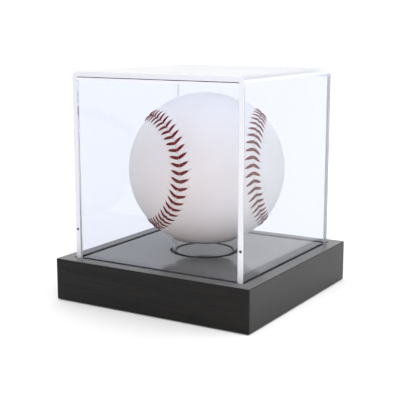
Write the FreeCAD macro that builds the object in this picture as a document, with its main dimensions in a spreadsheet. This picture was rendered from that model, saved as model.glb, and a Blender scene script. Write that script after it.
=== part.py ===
"""Baseball display case: a clear cover that lifts off a black wooden base, with the ball on a clear ring.

Millimetres. +Z is up, the origin is the centre of the footprint on the surface that the case stands on,
-Y is the side with the front panel and the legs of the bent sheet stand at -X and +X.
"""

import FreeCAD, Part
import Sketcher
import math
import os

# Every size that can be set by itself, in millimetres unless its note says otherwise.
SIZES = (
    ("ball_diameter", 74.0, "over the leather, away from the seam"),
    ("side_clearance", 5.85, "ball to the inside of the cover's walls"),
    ("top_clearance", 8.4, "ball to the underside of the cover's top"),
    ("acrylic_wall", 2.5, "sheet of the cover"),
    ("bend_inside_radius", 0.5, "inside of the two bends of the cover's sheet"),
    ("block_height", 19.9, "wooden block, top to underside"),
    ("rim_width", 5.95, "wood outside the cover's pocket"),
    ("outside_gap", 0.95, "cover's wall to the wooden rim"),
    ("inside_gap", 0.25, "cover's wall to the floor plate"),
    ("edge_rounding", 0.5, "outer edges of the block"),
    ("plate_thickness", 3.0, "black floor plate"),
    ("tape_thickness", 1.0, "double-sided foam tape under the plate"),
    ("tape_width", 12.0, "each strip of tape"),
    ("tape_margin", 7.0, "tape to the edge of the plate"),
    ("foot_diameter", 10.0, "each foot pad"),
    ("foot_thickness", 1.5, "each foot pad"),
    ("foot_recess", 1.0, "depth of the hole that a foot pad sits in"),
    ("foot_fit", 0.2, "foot pad to the wall of its hole"),
    ("foot_inset", 14.0, "centre of a foot pad to the side of the block"),
    ("ring_diameter", 32.4, "outside of the ring stand"),
    ("ring_wall", 1.5, "wall of the ring stand"),
    ("ring_height", 8.0, "whole ring, with the part in its groove"),
    ("ring_land", 0.5, "flat left on the ring's top outside the seat"),
    ("ring_groove_depth", 0.8, "groove in the floor plate that locates the ring"),
    ("ring_groove_fit", 0.9, "ring to each wall of its groove"),
    ("ball_seat_gap", 0.15, "ball to the seat, left so that the two never overlap"),
    ("leather_thickness", 1.3, "ball cover"),
    ("finish_winding_thickness", 0.5, "cotton finish winding"),
    ("third_winding_thickness", 1.9, "third wool winding"),
    ("second_winding_thickness", 1.8, "second wool winding"),
    ("outer_rubber_thickness", 2.35, "outer rubber of the pill"),
    ("inner_rubber_thickness", 4.0, "inner rubber of the pill"),
    ("cork_diameter", 20.6, "cork in the middle of the pill"),
    ("seam_reach", 0.715, "shape of the seam: 1 is a great circle, 0.5 is four deep lobes"),
    ("stitch_pairs", 108.0, "number of V stitches"),
    ("stitch_side", 4.5, "seam to a stitch's hole, measured across the seam"),
    ("stitch_slant", 2.1, "how far a V's point lies ahead of its holes, along the seam"),
    ("stitch_point", 0.6, "seam to the inner end of a stitch"),
    ("thread_diameter", 0.9, "waxed thread"),
    ("thread_proud", 0.2, "centre line of a stitch above the leather"),
    ("ball_yaw", 30.75, "degrees, how the ball lies: turn about Z"),
    ("ball_pitch", 44.1, "degrees, turn about Y"),
    ("ball_roll", 79.3, "degrees, turn about X"),
)

# Sizes that follow from the ones above.
COVER_WIDTH = "(Sizes.ball_diameter + 2 * Sizes.side_clearance + 2 * Sizes.acrylic_wall)"
POCKET_WIDTH = f"({COVER_WIDTH} + 2 * Sizes.outside_gap)"
BLOCK_WIDTH = f"({POCKET_WIDTH} + 2 * Sizes.rim_width)"
POCKET_DEPTH = "(Sizes.plate_thickness + Sizes.tape_thickness)"
PLATE_WIDTH = f"({COVER_WIDTH} - 2 * Sizes.acrylic_wall - 2 * Sizes.inside_gap)"
BLOCK_FLOOR = "(Sizes.foot_thickness - Sizes.foot_recess)"
RIM_TOP = f"({BLOCK_FLOOR} + Sizes.block_height)"
POCKET_FLOOR = f"({RIM_TOP} - {POCKET_DEPTH})"
FOOT_PLACE = f"({BLOCK_WIDTH} / 2 - Sizes.foot_inset)"
TAPE_LENGTH = f"({PLATE_WIDTH} - 2 * Sizes.tape_margin)"
RING_OUTER = "(Sizes.ring_diameter / 2)"
RING_INNER = f"({RING_OUTER} - Sizes.ring_wall)"
RING_SEAT = f"({RING_OUTER} - Sizes.ring_land)"
SEAT_BALL = "(Sizes.ball_diameter / 2 + Sizes.ball_seat_gap)"
BALL_ABOVE_RING = f"sqrt({SEAT_BALL}^2 - {RING_SEAT}^2)"
SEAT_LOW = f"(Sizes.ring_height + {BALL_ABOVE_RING} - sqrt({SEAT_BALL}^2 - {RING_INNER}^2))"
RING_FLOOR = f"({RIM_TOP} - Sizes.ring_groove_depth)"
BALL_CENTRE = f"({RING_FLOOR} + Sizes.ring_height + {BALL_ABOVE_RING})"
COVER_TOP = f"({BALL_CENTRE} + Sizes.ball_diameter / 2 + Sizes.top_clearance + Sizes.acrylic_wall)"
COVER_HEIGHT = f"({COVER_TOP} - {POCKET_FLOOR})"

# Ball layers from the middle out: each one's outside diameter.
CORK = "Sizes.cork_diameter"
INNER_RUBBER = f"({CORK} + 2 * Sizes.inner_rubber_thickness)"
OUTER_RUBBER = f"({INNER_RUBBER} + 2 * Sizes.outer_rubber_thickness)"
UNDER_LEATHER = "(Sizes.ball_diameter - 2 * Sizes.leather_thickness)"
THIRD_WINDING = f"({UNDER_LEATHER} - 2 * Sizes.finish_winding_thickness)"
SECOND_WINDING = f"({THIRD_WINDING} - 2 * Sizes.third_winding_thickness)"
FIRST_WINDING = f"({SECOND_WINDING} - 2 * Sizes.second_winding_thickness)"

SEAM_SAMPLES = 144  # points of the formula that the seam's curve is drawn through
SEAM_STEPS = 4000  # steps that the seam's length is added up in
SPHERE_TURN = 45.0  # degrees
CUT_REACH = 1.2  # how far past the ball the surface that divides its leather goes, in radii
CLOSE = 0.01  # how near an edge has to be to a stated place to be that edge

document = FreeCAD.newDocument("DisplayCase")
sheet = document.addObject("Spreadsheet::Sheet", "Sizes")
for row, (name, size, note) in enumerate(SIZES, start=1):
    sheet.set(f"A{row}", name)
    sheet.set(f"B{row}", str(size))
    sheet.setAlias(f"B{row}", name)
    sheet.set(f"C{row}", note)
document.recompute()


def value(expression):
    """What an expression comes to, as a number."""
    return float(sheet.evalExpression(expression))


def label(piece, name):
    """Names a finished sub-part and puts it in the list that is written out."""
    piece.Label = name
    finished.append(piece)
    return piece


def new_body(name):
    """An empty body whose Label is the sub-part's name."""
    return label(document.addObject("PartDesign::Body", f"{name}_body"), name)


def new_sketch(body, name, plane="XY_Plane", offset=None):
    """A sketch on one of the body's own planes, moved along the plane's normal by an expression."""
    sketch = body.newObject("Sketcher::SketchObject", f"{body.Label}_{name}")
    origin_plane = next(part for part in body.Origin.OriginFeatures if part.Role == plane)
    sketch.AttachmentSupport = [(origin_plane, "")]
    sketch.MapMode = "FlatFace"
    if offset:
        sketch.setExpression("AttachmentOffset.Base.z", offset)
    return sketch


def bind(sketch, name, constraint, expression):
    """Adds a named constraint and ties it to an expression."""
    index = sketch.addConstraint(constraint)
    sketch.renameConstraint(index, name)
    sketch.setExpression(f"Constraints.{name}", expression)


def closed_outline(sketch, corners):
    """Draws straight lines round named corners and ties each corner to two expressions.

    corners holds (name, x expression, y expression); the origin is at 0, 0 of the sketch.
    """
    points = [FreeCAD.Vector(value(x), value(y), 0) for _, x, y in corners]
    first = sketch.GeometryCount
    count = len(points)
    for index in range(count):
        sketch.addGeometry(Part.LineSegment(points[index], points[(index + 1) % count]), False)
    for index in range(count):
        after = first + (index + 1) % count
        sketch.addConstraint(Sketcher.Constraint("Coincident", first + index, 2, after, 1))
    for index, (name, x, y) in enumerate(corners):
        place = points[index]
        line = first + index
        bind(sketch, f"{name}_x", Sketcher.Constraint("DistanceX", -1, 1, line, 1, place.x), x)
        bind(sketch, f"{name}_y", Sketcher.Constraint("DistanceY", -1, 1, line, 1, place.y), y)


def rectangle(sketch, left, right, low, high, name=""):
    """A rectangle between four expressions."""
    closed_outline(
        sketch,
        (
            (f"{name}low_left", left, low),
            (f"{name}low_right", right, low),
            (f"{name}high_right", right, high),
            (f"{name}high_left", left, high),
        ),
    )


def centred_square(sketch, width):
    """A square about the sketch's origin."""
    rectangle(sketch, f"-{width} / 2", f"{width} / 2", f"-{width} / 2", f"{width} / 2")


def circle(sketch, name, radius, x="0", y="0"):
    """A circle with its radius and centre tied to expressions."""
    centre = FreeCAD.Vector(value(x), value(y), 0)
    index = sketch.addGeometry(Part.Circle(centre, FreeCAD.Vector(0, 0, 1), value(radius)), False)
    bind(sketch, f"{name}_radius", Sketcher.Constraint("Radius", index, value(radius)), radius)
    bind(sketch, f"{name}_x", Sketcher.Constraint("DistanceX", -1, 1, index, 3, centre.x), x)
    bind(sketch, f"{name}_y", Sketcher.Constraint("DistanceY", -1, 1, index, 3, centre.y), y)


def pad(body, sketch, length, midplane=False):
    """Raises a sketch into a solid."""
    feature = body.newObject("PartDesign::Pad", f"{sketch.Name}_pad")
    feature.Profile = sketch
    feature.SideType = "Symmetric" if midplane else "One side"
    feature.setExpression("Length", length)
    document.recompute()
    return feature


def pocket(body, sketch, depth, backwards=False, midplane=False):
    """Cuts a sketch out of the solid, and checks that it did cut."""
    before = body.Shape.Volume
    feature = body.newObject("PartDesign::Pocket", f"{sketch.Name}_pocket")
    feature.Profile = sketch
    feature.Reversed = backwards
    feature.SideType = "Symmetric" if midplane else "One side"
    feature.setExpression("Length", depth)
    document.recompute()
    if body.Shape.Volume > before - CLOSE:
        raise RuntimeError(f"{feature.Name} cuts nothing")
    return feature


def round_edges(body, base, name, radius, chosen):
    """Rounds the edges of a feature that chosen(edge) picks."""
    names = [f"Edge{index}" for index, edge in enumerate(base.Shape.Edges, start=1) if chosen(edge)]
    if not names:
        raise RuntimeError(f"{name} finds no edge")
    fillet = body.newObject("PartDesign::Fillet", f"{body.Label}_{name}")
    fillet.Base = (base, names)
    fillet.setExpression("Radius", radius)
    document.recompute()
    return fillet


def edge_box(edge, axis):
    """Lowest and highest place of an edge along an axis, 0 to 2."""
    box = edge.BoundBox
    return ((box.XMin, box.XMax), (box.YMin, box.YMax), (box.ZMin, box.ZMax))[axis]


def lies_at(edge, axis, place):
    """True if the whole edge lies at one place along an axis."""
    low, high = edge_box(edge, axis)
    return abs(low - place) < CLOSE and abs(high - place) < CLOSE


def wood_base():
    """The block: a square pocket in its top takes the plate and the cover, and four holes take the feet."""
    body = new_body("wood_base")
    body.setExpression("Placement.Base.z", BLOCK_FLOOR)
    outline = new_sketch(body, "outline")
    centred_square(outline, BLOCK_WIDTH)
    pad(body, outline, "Sizes.block_height")
    opening = new_sketch(body, "pocket_outline", offset="Sizes.block_height")
    centred_square(opening, POCKET_WIDTH)
    pocket(body, opening, POCKET_DEPTH)
    holes = new_sketch(body, "foot_holes")
    for name, x_sign, y_sign in FOOT_CORNERS:
        radius = "(Sizes.foot_diameter / 2 + Sizes.foot_fit)"
        circle(holes, name, radius, f"{x_sign} * {FOOT_PLACE}", f"{y_sign} * {FOOT_PLACE}")
    drilled = pocket(body, holes, "Sizes.foot_recess", backwards=True)
    side = value(BLOCK_WIDTH) / 2
    top = value(RIM_TOP)

    def outer_edge(edge):
        sides = sum(lies_at(edge, axis, sign * side) for axis in (0, 1) for sign in (-1, 1))
        return sides == 2 or (sides == 1 and lies_at(edge, 2, top - value(BLOCK_FLOOR)))

    round_edges(body, drilled, "rounding", "Sizes.edge_rounding", outer_edge)


def foot_pads():
    """Four round rubber pads, each in its hole in the block's underside."""
    for name, x_sign, y_sign in FOOT_CORNERS:
        foot = label(document.addObject("Part::Cylinder", f"foot_{name}"), f"foot_pad_{name}")
        foot.setExpression("Radius", "Sizes.foot_diameter / 2")
        foot.setExpression("Height", "Sizes.foot_thickness")
        foot.setExpression("Placement.Base.x", f"{x_sign} * {FOOT_PLACE}")
        foot.setExpression("Placement.Base.y", f"{y_sign} * {FOOT_PLACE}")


def plate_tape():
    """Two strips of double-sided foam tape that hold the floor plate down in the pocket."""
    strips = []
    for name, sign in (("front", -1), ("back", 1)):
        strip = document.addObject("Part::Box", f"tape_{name}")
        strip.setExpression("Length", TAPE_LENGTH)
        strip.setExpression("Width", "Sizes.tape_width")
        strip.setExpression("Height", "Sizes.tape_thickness")
        strip.setExpression("Placement.Base.x", f"-{TAPE_LENGTH} / 2")
        middle = f"{sign} * ({PLATE_WIDTH} / 2 - Sizes.tape_margin - Sizes.tape_width / 2)"
        strip.setExpression("Placement.Base.y", f"{middle} - Sizes.tape_width / 2")
        strip.setExpression("Placement.Base.z", POCKET_FLOOR)
        strips.append(strip)
    tape = label(document.addObject("Part::Compound", "tape_strips"), "plate_tape")
    tape.Links = strips


def floor_plate():
    """The black plate, level with the rim, with a shallow round groove for the ring stand."""
    body = new_body("floor_plate")
    body.setExpression("Placement.Base.z", f"{POCKET_FLOOR} + Sizes.tape_thickness")
    outline = new_sketch(body, "outline")
    centred_square(outline, PLATE_WIDTH)
    pad(body, outline, "Sizes.plate_thickness")
    groove = new_sketch(body, "ring_groove", offset="Sizes.plate_thickness")
    circle(groove, "outer", f"({RING_OUTER} + Sizes.ring_groove_fit)")
    circle(groove, "inner", f"({RING_INNER} - Sizes.ring_groove_fit)")
    pocket(body, groove, "Sizes.ring_groove_depth")


def ring_stand():
    """The clear ring: a short tube whose top inner edge is bevelled to seat the ball."""
    body = new_body("ring_stand")
    body.setExpression("Placement.Base.z", RING_FLOOR)
    profile = new_sketch(body, "profile", plane="XZ_Plane")
    closed_outline(
        profile,
        (
            ("inner_low", RING_INNER, "0"),
            ("outer_low", RING_OUTER, "0"),
            ("outer_high", RING_OUTER, "Sizes.ring_height"),
            ("seat_high", RING_SEAT, "Sizes.ring_height"),
            ("seat_low", RING_INNER, SEAT_LOW),
        ),
    )
    turned = body.newObject("PartDesign::Revolution", "ring_turned")
    turned.Profile = profile
    turned.ReferenceAxis = (profile, ["V_Axis"])
    turned.Angle = 360
    document.recompute()


def cover_bent_sheet():
    """One sheet bent twice: two legs and the top. It is open below, in front and behind."""
    body = new_body("cover_bent_sheet")
    body.setExpression("Placement.Base.z", POCKET_FLOOR)
    outline = new_sketch(body, "outline", plane="XZ_Plane")
    rectangle(outline, f"-{COVER_WIDTH} / 2", f"{COVER_WIDTH} / 2", "0", COVER_HEIGHT)
    pad(body, outline, COVER_WIDTH, midplane=True)
    inside = new_sketch(body, "inside", plane="XZ_Plane")
    half_inside = f"({COVER_WIDTH} / 2 - Sizes.acrylic_wall)"
    inside_top = f"({COVER_HEIGHT} - Sizes.acrylic_wall)"
    rectangle(inside, f"-{half_inside}", half_inside, "0", inside_top)
    hollow = pocket(body, inside, COVER_WIDTH, midplane=True)
    outer_x, inner_x = value(COVER_WIDTH) / 2, value(half_inside)
    outer_z, inner_z = value(COVER_HEIGHT), value(inside_top)

    def corner(x_place, z_place):
        return lambda edge: lies_at(edge, 2, z_place) and (
            lies_at(edge, 0, x_place) or lies_at(edge, 0, -x_place)
        )

    inner_bend = round_edges(
        body, hollow, "inner_bend", "Sizes.bend_inside_radius", corner(inner_x, inner_z)
    )
    outer_radius = "Sizes.bend_inside_radius + Sizes.acrylic_wall"
    round_edges(body, inner_bend, "outer_bend", outer_radius, corner(outer_x, outer_z))


def cover_panel(name, sign):
    """A flat end panel, set between the legs and flush with the sheet's edges."""
    body = new_body(f"cover_{name}_panel")
    body.setExpression("Placement.Base.z", POCKET_FLOOR)
    middle = f"{sign} * ({COVER_WIDTH} / 2 - Sizes.acrylic_wall / 2)"
    body.setExpression("Placement.Base.y", middle)
    outline = new_sketch(body, "outline", plane="XZ_Plane")
    half_width = f"({COVER_WIDTH} / 2 - Sizes.acrylic_wall)"
    height = f"({COVER_HEIGHT} - Sizes.acrylic_wall)"
    rectangle(outline, f"-{half_width}", half_width, "0", height)
    flat = pad(body, outline, "Sizes.acrylic_wall", midplane=True)
    top = value(height)

    def top_corner(edge):
        sides = lies_at(edge, 0, value(half_width)) or lies_at(edge, 0, -value(half_width))
        return sides and lies_at(edge, 2, top)

    round_edges(body, flat, "corners", "Sizes.bend_inside_radius", top_corner)


def ball_sphere(name, diameter):
    """A solid ball about the ball's centre."""
    sphere = document.addObject("Part::Sphere", name)
    sphere.setExpression("Radius", f"{diameter} / 2")
    sphere.setExpression("Placement.Base.z", BALL_CENTRE)
    return sphere


def ball_layers():
    """The inside of the ball: the cork pill in its two rubbers, and four windings of yarn."""
    label(ball_sphere("cork", CORK), "cork_core")
    shells = (
        ("inner_rubber_shell", CORK, INNER_RUBBER),
        ("outer_rubber_shell", INNER_RUBBER, OUTER_RUBBER),
        ("first_wool_winding", OUTER_RUBBER, FIRST_WINDING),
        ("second_wool_winding", FIRST_WINDING, SECOND_WINDING),
        ("third_wool_winding", SECOND_WINDING, THIRD_WINDING),
        ("finish_winding", THIRD_WINDING, UNDER_LEATHER),
    )
    for name, inside, outside in shells:
        shell = label(document.addObject("Part::Cut", f"{name}_cut"), name)
        shell.Base = ball_sphere(f"{name}_outside", outside)
        shell.Tool = ball_sphere(f"{name}_inside", inside)


def ball_placement():
    """Where the ball is and how it lies."""
    turn = FreeCAD.Rotation(sheet.ball_yaw, sheet.ball_pitch, sheet.ball_roll)
    return FreeCAD.Placement(FreeCAD.Vector(0, 0, value(BALL_CENTRE)), turn)


def seam_point(angle):
    """A point of the seam on a ball of radius 1 about the origin; angle runs from 0 to a full turn."""
    long, short = sheet.seam_reach, 1 - sheet.seam_reach
    return FreeCAD.Vector(
        long * math.cos(angle) + short * math.cos(3 * angle),
        long * math.sin(angle) - short * math.sin(3 * angle),
        2 * math.sqrt(long * short) * math.sin(2 * angle),
    )


def seam_angles(count):
    """Angles of the seam that are evenly spaced along its length."""
    steps = [2 * math.pi * index / SEAM_STEPS for index in range(SEAM_STEPS + 1)]
    lengths = [0.0]
    for before, after in zip(steps, steps[1:]):
        lengths.append(lengths[-1] + (seam_point(after) - seam_point(before)).Length)
    angles = []
    for index in range(count):
        wanted = lengths[-1] * index / count
        step = next(place for place, length in enumerate(lengths) if length >= wanted)
        angles.append(steps[step])
    return angles


def part_feature(name, shape):
    """A sub-part whose shape is made here, placed with the ball."""
    feature = label(document.addObject("Part::Feature", f"{name}_shape"), name)
    feature.Shape = shape
    feature.Placement = ball_placement()


def leather_panels():
    """The two leather pieces, cut from one hollow ball along the seam."""
    radius = sheet.ball_diameter / 2
    leather = Part.makeSphere(radius).cut(Part.makeSphere(value(UNDER_LEATHER) / 2))
    # A sphere has a line of its own at X, beside the seam; turned, it crosses the seam instead.
    leather.rotate(FreeCAD.Vector(), FreeCAD.Vector(0, 0, 1), SPHERE_TURN)
    curves = []
    for reach in (1 / CUT_REACH * value(UNDER_LEATHER) / sheet.ball_diameter, CUT_REACH):
        curve = Part.BSplineCurve()
        points = [
            seam_point(2 * math.pi * index / SEAM_SAMPLES) * (radius * reach)
            for index in range(SEAM_SAMPLES)
        ]
        curve.interpolate(Points=points, PeriodicFlag=True)
        curves.append(curve.toShape())
    surface = Part.makeRuledSurface(*curves)
    pieces = leather.generalFuse([surface])[0].Solids
    if len(pieces) != 2:
        raise RuntimeError(f"the seam divides the leather into {len(pieces)} pieces")
    pieces.sort(key=lambda piece: piece.CenterOfMass.z)
    for name, piece in zip(("leather_panel_a", "leather_panel_b"), pieces):
        part_feature(name, piece)


def seam_thread():
    """The red stitches: in each V, one stitch on each side of the seam, half sunk in the leather."""
    stitches = []
    height = sheet.ball_diameter / 2 + sheet.thread_proud
    for angle in seam_angles(round(sheet.stitch_pairs)):
        step = math.pi / SEAM_STEPS
        outward = seam_point(angle)
        along = (seam_point(angle + step) - seam_point(angle - step)).normalize()
        across = outward.cross(along)
        for side in (-1, 1):
            inner = outward * height + across * (side * sheet.stitch_point)
            outer = outward * height + across * (side * sheet.stitch_side)
            outer = (outer - along * sheet.stitch_slant).normalize() * height
            inner = inner.normalize() * height
            run = outer - inner
            stitches.append(Part.makeCylinder(sheet.thread_diameter / 2, run.Length, inner, run))
    part_feature("seam_thread", Part.makeCompound(stitches))


def check_document():
    """Stops if any object failed or any sub-part has no valid shape."""
    failed = [item.Name for item in document.Objects if {"Invalid", "Error"} & set(item.State)]
    if failed:
        raise RuntimeError(f"failed: {failed}")
    for piece in finished:
        if piece.Shape.isNull() or not piece.Shape.isValid() or not piece.Shape.Solids:
            raise RuntimeError(f"{piece.Label} has no valid shape")


FOOT_CORNERS = (
    ("front_left", -1, -1),
    ("front_right", 1, -1),
    ("back_left", -1, 1),
    ("back_right", 1, 1),
)
finished = []

wood_base()
foot_pads()
plate_tape()
floor_plate()
ring_stand()
cover_bent_sheet()
cover_panel("front", -1)
cover_panel("back", 1)
ball_layers()
leather_panels()
seam_thread()
document.recompute()
check_document()

os.makedirs("parts", exist_ok=True)
for piece in finished:
    piece.Shape.exportStep(f"parts/{piece.Label}.step")
print(f"{len(finished)} sub-parts written")
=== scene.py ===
"""Looks of a baseball display case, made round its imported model.

Metres, +Z up, the case stands on z = 0. Every place comes from the frame's own boxes.
"""

import math

import bmesh
import bpy
from bpy.props import FloatProperty, FloatVectorProperty, IntProperty, PointerProperty
from mathutils import Euler, Matrix, Vector, kdtree


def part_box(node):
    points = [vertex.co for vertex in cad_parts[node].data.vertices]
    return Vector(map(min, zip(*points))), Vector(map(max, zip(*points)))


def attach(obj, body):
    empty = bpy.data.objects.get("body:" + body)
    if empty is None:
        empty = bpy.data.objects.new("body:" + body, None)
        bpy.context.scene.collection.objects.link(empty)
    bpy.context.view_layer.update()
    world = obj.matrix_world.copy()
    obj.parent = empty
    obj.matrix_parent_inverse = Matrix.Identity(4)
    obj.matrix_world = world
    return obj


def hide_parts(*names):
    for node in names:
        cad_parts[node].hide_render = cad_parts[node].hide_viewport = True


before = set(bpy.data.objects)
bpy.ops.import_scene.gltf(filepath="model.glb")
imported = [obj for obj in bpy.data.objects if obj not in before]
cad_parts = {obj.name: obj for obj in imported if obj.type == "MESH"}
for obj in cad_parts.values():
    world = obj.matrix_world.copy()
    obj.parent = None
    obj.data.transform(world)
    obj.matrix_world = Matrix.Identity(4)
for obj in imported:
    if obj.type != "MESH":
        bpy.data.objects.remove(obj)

bl_info = {
    "name": "Baseball display case",
    "version": (1, 0, 0),
    "blender": (4, 5, 0),
    "location": "3D View > Sidebar > Display case",
    "description": "Builds a clear cover on a black wooden base, with a stitched leather ball on a clear ring",
    "category": "Object",
}

MM = 0.001
SHARP = math.radians(25)  # an edge that turns by more is drawn crisp
CORNER = math.radians(60)  # an edge that turns by more is a corner, and gets its bevel
NEAR = 0.01 * MM  # closer than this is the same place
FLAT = 0.999  # a face whose normal has more than this along an axis is flat across that axis


def linear(code):
    """An sRGB hex colour as linear red, green, blue and alpha."""
    channels = [int(code[place : place + 2], 16) / 255 for place in (1, 3, 5)]
    return tuple(c / 12.92 if c <= 0.04045 else ((c + 0.055) / 1.055) ** 2.4 for c in channels) + (1.0,)


def boxes(*nodes):
    """Lowest and highest corner of several CAD nodes together."""
    found = [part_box(node) for node in nodes]
    low = Vector([min(box[0][axis] for box in found) for axis in range(3)])
    high = Vector([max(box[1][axis] for box in found) for axis in range(3)])
    return low, high


COVER_LOW, COVER_HIGH = boxes("cover_bent_sheet")
PANEL_LOW, PANEL_HIGH = boxes("cover_front_panel")
BLOCK_LOW, BLOCK_HIGH = boxes("wood_base")
PLATE_LOW, PLATE_HIGH = boxes("floor_plate")
RING_LOW, RING_HIGH = boxes("ring_stand")
WINDING_LOW, WINDING_HIGH = boxes("finish_winding")
BALL_CENTRE = (WINDING_LOW + WINDING_HIGH) / 2
WINDING_RADIUS = (WINDING_HIGH.z - WINDING_LOW.z) / 2
WALL = PANEL_HIGH.y - PANEL_LOW.y


# ---------------------------------------------------------------- properties


def length(name, description, default, **more):
    """A length in metres that shows in the file's units."""
    return FloatProperty(name=name, description=description, default=default, unit="LENGTH", precision=5, **more)


def colour(name, description, code):
    """A colour whose default is an sRGB hex value."""
    return FloatVectorProperty(
        name=name, description=description, default=linear(code), size=4, subtype="COLOR", min=0, max=1
    )


class CaseBallProperties(bpy.types.PropertyGroup):
    """Sizes and colours of the ball."""

    leather_thickness: length("Leather", "Thickness of the leather over the windings", 1.3 * MM)
    leather_colour: colour("Leather colour", "Tanned white horsehide", "#FBFBF9")
    grain: length("Grain", "Width of one pebble of the leather's grain", 0.75 * MM)
    seam_reach: FloatProperty(
        name="Seam reach", description="Shape of the seam: 1 is a great circle", default=0.715, min=0.5, max=1
    )
    stitches: IntProperty(name="Stitches", description="V stitches round the whole seam", default=108, min=4)
    ridge: length("Ridge", "How far the leather stands up beside the seam", 0.3 * MM)
    stitch_side: length("Stitch side", "Seam to a stitch's hole", 4.5 * MM)
    stitch_slant: length("Stitch slant", "How far a V's point lies ahead of its holes", 2.1 * MM)
    thread_width: length("Thread", "Width of the waxed thread", 1.65 * MM)
    thread_colour: colour("Thread colour", "Red waxed cotton", "#7C000C")
    turn: FloatVectorProperty(
        name="Turn",
        description="How the ball lies, as turns about X, Y and Z",
        default=(math.radians(79.3), math.radians(44.1), math.radians(30.75)),
        subtype="EULER",
    )


class CaseCoverProperties(bpy.types.PropertyGroup):
    """Sizes and colours of the clear pieces."""

    bend: length("Bend", "Outer radius of the cover's two bends", 3.0 * MM)
    bend_steps: IntProperty(name="Bend steps", description="Flats in each bend", default=20, min=4)
    edge_break: length("Edge break", "Chamfer along the cut edges", 0.12 * MM)
    lip: length("Lip", "Bevel along a window's top edge", 0.35 * MM)
    cement: length("Cement", "Height of the whitened strip at a window's top", 1.7 * MM)
    ring_wall: length("Ring wall", "Wall of the ring stand", 1.5 * MM)
    bubble: length("Bubble", "Width of the bubble at the foot of a front leg", 1.4 * MM)
    bubble_height: length("Bubble height", "From the wooden rim up to a bubble", 13.9 * MM)
    joint: length("Joint", "Film of cement between the sheet and a panel", 0.03 * MM)
    acrylic_colour: colour("Acrylic", "Clear cast acrylic, faintly blue", "#EEF0F6")
    # Painted tint: the top sheet gets a bluer, darker copy of the acrylic, standing in for the long light path seen
    # along the sheet.
    painted_top_colour: colour("Top", "The top sheet, bluer because it is mostly seen along the sheet", "#E7EAF5")
    edge_colour: colour("Cut edge", "Sawn edge, which scatters light", "#DEE1EA")


class CaseBaseProperties(bpy.types.PropertyGroup):
    """Sizes and colours of the base."""

    wood_colour: colour("Wood", "Wood stained black", "#0E0D0D")
    wear_colour: colour("Wear", "Stain rubbed thin along the grain", "#1B1A19")
    # Painted reflection: the rim's top colour is painted paler to stand in for the lacquer's bright grazing
    # reflection, not rubbed or dusted.
    painted_top_colour: colour("Rubbed top", "Top of the rim, rubbed paler by the cover and by dusting", "#5C5B5A")
    grain_line: length("Grain line", "Spacing of the wood's grain lines", 0.8 * MM)
    # Painted reflection: the black plate is painted grey, standing in for the bright room that it mirrors, not
    # dust.
    plate_painted_grey: colour("Plate", "Black cast acrylic, greyed by fine dust and handling", "#6F6F6D")
    groove: length("Groove", "Plate's ring groove, on each side of the ring", 0.9 * MM)
    groove_depth: length("Groove depth", "Depth of the plate's ring groove", 0.8 * MM)
    rubber_colour: colour("Rubber", "Black rubber foot", "#1B1B1B")


class CaseStageProperties(bpy.types.PropertyGroup):
    """The camera and the light."""

    lens: FloatProperty(name="Lens", description="Focal length in millimetres", default=83.2, min=1)
    camera_place: FloatVectorProperty(
        name="Camera", description="Where the camera is", default=(0.2278, -0.3853, 0.1301), subtype="XYZ"
    )
    camera_target: FloatVectorProperty(
        name="Target", description="What the camera looks at", default=(-0.00334, 0.0, 0.04501), subtype="XYZ"
    )
    spot_place: FloatVectorProperty(
        name="Spot place", description="Lamp over the table at the side", default=(0.23, -0.02, 0.9), subtype="XYZ"
    )
    spot_power: FloatProperty(name="Spot", description="Watts on the table beside the case", default=52, min=0)
    fill_place: FloatVectorProperty(
        name="Fill place", description="Low soft lamp in front", default=(0.13, -0.45, 0.028), subtype="XYZ"
    )
    fill_power: FloatProperty(name="Fill", description="Watts from low in front", default=0.3, min=0)
    floor_colour: colour("Floor", "Matt white table", "#DFDFDF")


# ---------------------------------------------------------------- meshes


def shape():
    """An empty mesh to build in."""
    return bmesh.new()


def block(low, high):
    """A box between two corners."""
    bm = shape()
    bmesh.ops.create_cube(bm, size=1.0)
    size = Vector(high) - Vector(low)
    bmesh.ops.scale(bm, vec=size, verts=bm.verts)
    bmesh.ops.translate(bm, vec=(Vector(low) + Vector(high)) / 2, verts=bm.verts)
    return bm


def soften(bm, edges, radius, segments=3):
    """Rounds edges."""
    bmesh.ops.bevel(
        bm,
        geom=list(edges),
        offset=radius,
        offset_type="OFFSET",
        segments=segments,
        profile=0.5,
        affect="EDGES",
        material=-1,
        clamp_overlap=True,
    )


def sharp_edges(bm):
    """The corners of a shape."""
    return [edge for edge in bm.edges if edge.is_manifold and edge.calc_face_angle() > CORNER]


def turned(profile, steps):
    """Spins an outline of (radius, height) points about Z into a closed shape."""
    bm = shape()
    verts = [bm.verts.new((radius, 0, height)) for radius, height in profile]
    edges = [bm.edges.new(pair) for pair in zip(verts, verts[1:])]
    if profile[0][0] > 0:
        edges.append(bm.edges.new((verts[-1], verts[0])))
    bmesh.ops.spin(
        bm,
        geom=verts + edges,
        cent=(0, 0, 0),
        axis=(0, 0, 1),
        angle=2 * math.pi,
        steps=steps,
        use_merge=True,
    )
    bmesh.ops.remove_doubles(bm, verts=bm.verts, dist=0.001 * MM)
    bmesh.ops.recalc_face_normals(bm, faces=bm.faces)
    return bm


def piece(name, bm, materials, body, nodes):
    """Makes an object of a finished mesh, smooth but for its sharp edges."""
    for face in bm.faces:
        face.smooth = True
    for edge in bm.edges:
        edge.smooth = not edge.is_manifold or edge.calc_face_angle() < SHARP
    mesh = bpy.data.meshes.new(name)
    bm.to_mesh(mesh)
    bm.free()
    for material in materials:
        mesh.materials.append(material)
    made = bpy.data.objects.new(name, mesh)
    bpy.context.scene.collection.objects.link(made)
    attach(made, body)
    if nodes:
        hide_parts(*nodes)
    return made


def repaint(node, material):
    """Gives a CAD node a better material."""
    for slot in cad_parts[node].material_slots:
        slot.link = "OBJECT"
        slot.material = material


# ---------------------------------------------------------------- materials


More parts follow.
